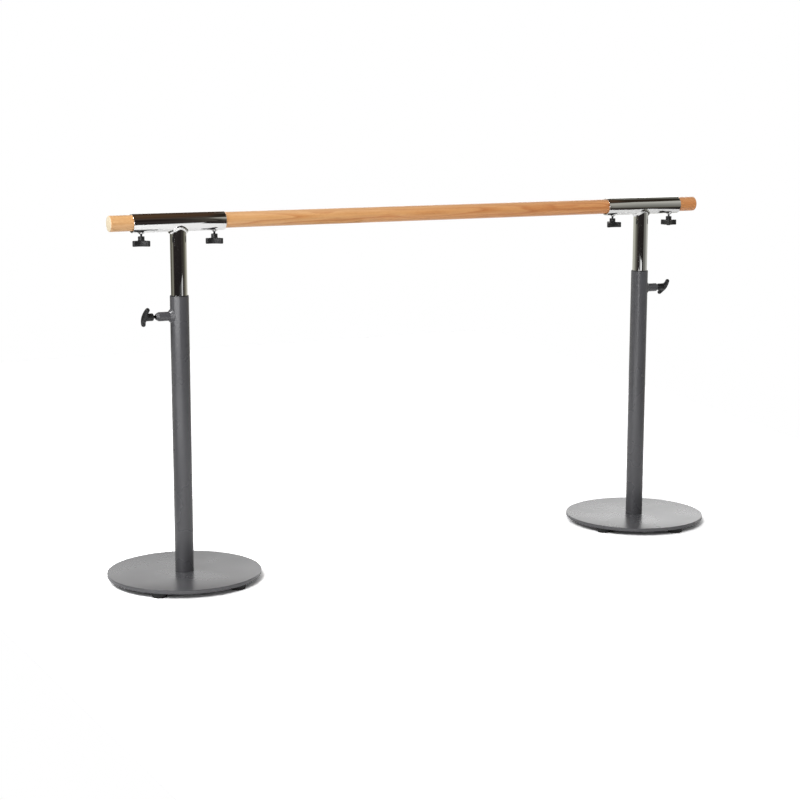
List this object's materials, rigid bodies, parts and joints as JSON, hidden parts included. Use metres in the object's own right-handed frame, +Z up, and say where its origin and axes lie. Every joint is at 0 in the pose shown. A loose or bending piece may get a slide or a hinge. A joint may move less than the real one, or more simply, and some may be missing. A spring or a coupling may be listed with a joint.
{
  "type": "free-standing ballet barre",
  "caption": "Free-standing barre for standing exercise: a round wooden bar clamped in chrome sleeves on telescoping posts, each locked in a column on a heavy round base",
  "frame": {"origin": "on the floor, midway between the two stands", "axes": "X along the bar, Y from front to back, Z up"},
  "size_m": [1.8149, 0.4, 0.9541],
  "materials": {
    "charcoal_powder_coat": "satin charcoal powder coat",
    "chrome_plate": "bright chrome plate",
    "lacquered_beech": "satin lacquered beech",
    "black_knob_plastic": "black moulded plastic",
    "dark_guide_plastic": "dark moulded guide plastic",
    "black_rubber": "black rubber",
    "zinc_plated_steel": "zinc plated steel",
    "natural_nylon": "natural nylon"
  },
  "bodies": {
    "left_stand": {"base_plate_left": "charcoal_powder_coat", "base_washer_left": "zinc_plated_steel", "base_bolt_left": "zinc_plated_steel", "foot_a_left": "black_rubber", "foot_b_left": "black_rubber", "foot_c_left": "black_rubber", "foot_d_left": "black_rubber", "foot_e_left": "black_rubber", "column_left": "charcoal_powder_coat", "column_plug_left": "zinc_plated_steel", "column_bush_left": "dark_guide_plastic", "lock_boss_left": "charcoal_powder_coat"},
    "left_lock_pad": {"lock_pad_left": "natural_nylon"},
    "left_lock_screw": {"lock_knob_left": "black_knob_plastic", "lock_stud_left": "zinc_plated_steel"},
    "left_glide": {"post_glide_left": "dark_guide_plastic"},
    "left_tee": {"post_left": "chrome_plate", "sleeve_left": "chrome_plate", "clamp_boss_outer_left": "chrome_plate", "clamp_boss_inner_left": "chrome_plate"},
    "left_outer_clamp_pad": {"clamp_pad_outer_left": "natural_nylon"},
    "left_outer_clamp_screw": {"clamp_knob_outer_left": "black_knob_plastic", "clamp_stud_outer_left": "zinc_plated_steel"},
    "left_inner_clamp_pad": {"clamp_pad_inner_left": "natural_nylon"},
    "left_inner_clamp_screw": {"clamp_knob_inner_left": "black_knob_plastic", "clamp_stud_inner_left": "zinc_plated_steel"},
    "right_stand": {"base_plate_right": "charcoal_powder_coat", "base_washer_right": "zinc_plated_steel", "base_bolt_right": "zinc_plated_steel", "foot_a_right": "black_rubber", "foot_b_right": "black_rubber", "foot_c_right": "black_rubber", "foot_d_right": "black_rubber", "foot_e_right": "black_rubber", "column_right": "charcoal_powder_coat", "column_plug_right": "zinc_plated_steel", "column_bush_right": "dark_guide_plastic", "lock_boss_right": "charcoal_powder_coat"},
    "right_lock_pad": {"lock_pad_right": "natural_nylon"},
    "right_lock_screw": {"lock_knob_right": "black_knob_plastic", "lock_stud_right": "zinc_plated_steel"},
    "right_glide": {"post_glide_right": "dark_guide_plastic"},
    "right_tee": {"post_right": "chrome_plate", "sleeve_right": "chrome_plate", "clamp_boss_outer_right": "chrome_plate", "clamp_boss_inner_right": "chrome_plate"},
    "right_outer_clamp_pad": {"clamp_pad_outer_right": "natural_nylon"},
    "right_outer_clamp_screw": {"clamp_knob_outer_right": "black_knob_plastic", "clamp_stud_outer_right": "zinc_plated_steel"},
    "right_inner_clamp_pad": {"clamp_pad_inner_right": "natural_nylon"},
    "right_inner_clamp_screw": {"clamp_knob_inner_right": "black_knob_plastic", "clamp_stud_inner_right": "zinc_plated_steel"},
    "bar": {"bar": "lacquered_beech"}
  },
  "joints": [
    {"name": "left_height", "type": "slide", "parent": "left_stand", "child": "left_glide", "axis": [0, 0, 1], "range_m": [-0.13, 0.2]},
    {"name": "left_swivel", "type": "hinge", "parent": "left_glide", "child": "left_tee", "pos_m": [-0.7075, 0, 0.7421], "axis": [0, 0, 1], "continuous": true},
    {"name": "left_bar_slide", "type": "slide", "parent": "left_tee", "child": "bar", "axis": [1, 0, 0], "range_m": [-0.5, 0.055]},
    {"name": "right_bar_slide", "type": "slide", "parent": "bar", "child": "right_tee", "axis": [1, 0, 0], "range_m": [-0.5, 0.055]},
    {"name": "right_swivel", "type": "hinge", "parent": "right_tee", "child": "right_glide", "pos_m": [0.7075, 0, 0.7421], "axis": [0, 0, 1], "continuous": true},
    {"name": "right_height", "type": "slide", "parent": "right_glide", "child": "right_stand", "axis": [0, 0, -1], "range_m": [-0.13, 0.2]},
    {"name": "left_lock_travel", "type": "slide", "parent": "left_stand", "child": "left_lock_pad", "axis": [-1, 0, 0], "range_m": [0, 0.00376]},
    {"name": "left_lock_turn", "type": "hinge", "parent": "left_lock_pad", "child": "left_lock_screw", "pos_m": [-0.7875, 0, 0.6921], "axis": [-1, 0, 0], "range_deg": [0, 1080]},
    {"name": "left_outer_clamp_travel", "type": "slide", "parent": "left_tee", "child": "left_outer_clamp_pad", "axis": [0, 0, -1], "range_m": [0, 0.00301]},
    {"name": "left_outer_clamp_turn", "type": "hinge", "parent": "left_outer_clamp_pad", "child": "left_outer_clamp_screw", "pos_m": [-0.8055, 0, 0.8901], "axis": [0, 0, -1], "range_deg": [0, 1080]},
    {"name": "left_inner_clamp_travel", "type": "slide", "parent": "left_tee", "child": "left_inner_clamp_pad", "axis": [0, 0, -1], "range_m": [0, 0.00301]},
    {"name": "left_inner_clamp_turn", "type": "hinge", "parent": "left_inner_clamp_pad", "child": "left_inner_clamp_screw", "pos_m": [-0.6095, 0, 0.8901], "axis": [0, 0, -1], "range_deg": [0, 1080]},
    {"name": "right_lock_travel", "type": "slide", "parent": "right_stand", "child": "right_lock_pad", "axis": [1, 0, 0], "range_m": [0, 0.00376]},
    {"name": "right_lock_turn", "type": "hinge", "parent": "right_lock_pad", "child": "right_lock_screw", "pos_m": [0.7875, 0, 0.6921], "axis": [1, 0, 0], "range_deg": [0, 1080]},
    {"name": "right_outer_clamp_travel", "type": "slide", "parent": "right_tee", "child": "right_outer_clamp_pad", "axis": [0, 0, -1], "range_m": [0, 0.00301]},
    {"name": "right_outer_clamp_turn", "type": "hinge", "parent": "right_outer_clamp_pad", "child": "right_outer_clamp_screw", "pos_m": [0.8055, 0, 0.8901], "axis": [0, 0, -1], "range_deg": [0, 1080]},
    {"name": "right_inner_clamp_travel", "type": "slide", "parent": "right_tee", "child": "right_inner_clamp_pad", "axis": [0, 0, -1], "range_m": [0, 0.00301]},
    {"name": "right_inner_clamp_turn", "type": "hinge", "parent": "right_inner_clamp_pad", "child": "right_inner_clamp_screw", "pos_m": [0.6095, 0, 0.8901], "axis": [0, 0, -1], "range_deg": [0, 1080]}
  ],
  "couplings": [
    {"joint": "right_height", "follows": "left_height", "ratio": 1},
    {"joint": "left_lock_travel", "follows": "left_lock_turn", "m_per_rad": 0.00019894},
    {"joint": "left_outer_clamp_travel", "follows": "left_outer_clamp_turn", "m_per_rad": 0.00015915},
    {"joint": "left_inner_clamp_travel", "follows": "left_inner_clamp_turn", "m_per_rad": 0.00015915},
    {"joint": "right_lock_travel", "follows": "right_lock_turn", "m_per_rad": 0.00019894},
    {"joint": "right_outer_clamp_travel", "follows": "right_outer_clamp_turn", "m_per_rad": 0.00015915},
    {"joint": "right_inner_clamp_travel", "follows": "right_inner_clamp_turn", "m_per_rad": 0.00015915}
  ]
}
